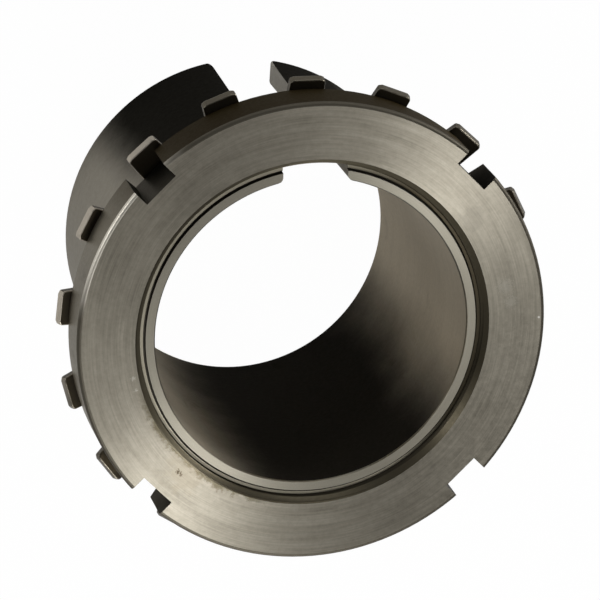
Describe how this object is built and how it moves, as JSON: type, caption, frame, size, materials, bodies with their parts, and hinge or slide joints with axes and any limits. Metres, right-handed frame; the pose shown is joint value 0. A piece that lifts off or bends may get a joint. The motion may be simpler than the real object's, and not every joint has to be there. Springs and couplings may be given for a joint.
{
  "type": "bearing adapter sleeve",
  "caption": "Split taper sleeve with a slotted lock nut and a tab washer; it clamps a taper-bore bearing onto a plain shaft.",
  "frame": {"origin": "on the shaft's axis, in the plane of the sleeve's thick end, on which it stands", "axes": "+Z along the shaft from the thick end to the lock nut, -Y through the slit, +X to complete a right-handed frame"},
  "size_m": [0.1262, 0.1256, 0.092],
  "materials": {
    "sleeve_steel": "turned and ground bearing steel, oiled, dark bore",
    "nut_steel": "satin turned steel with fine concentric marks, lightly oiled",
    "washer_steel": "punched sheet steel, dark oiled"
  },
  "bodies": {
    "sleeve": {"adapter_sleeve": "sleeve_steel"},
    "washer": {"lock_washer": "washer_steel"},
    "nut": {"lock_nut": "nut_steel"}
  },
  "joints": [
    {"name": "washer_slide", "type": "slide", "parent": "sleeve", "child": "washer", "axis": [0, 0, 1], "range_m": [-0.0081, 0.0101]},
    {"name": "nut_turn", "type": "hinge", "parent": "washer", "child": "nut", "pos_m": [0, 0, 0.084], "axis": [0, 0, 1], "range_deg": [-1440, 1800]}
  ],
  "couplings": [
    {"joint": "washer_slide", "follows": "nut_turn", "m_per_rad": 0.00031831}
  ]
}
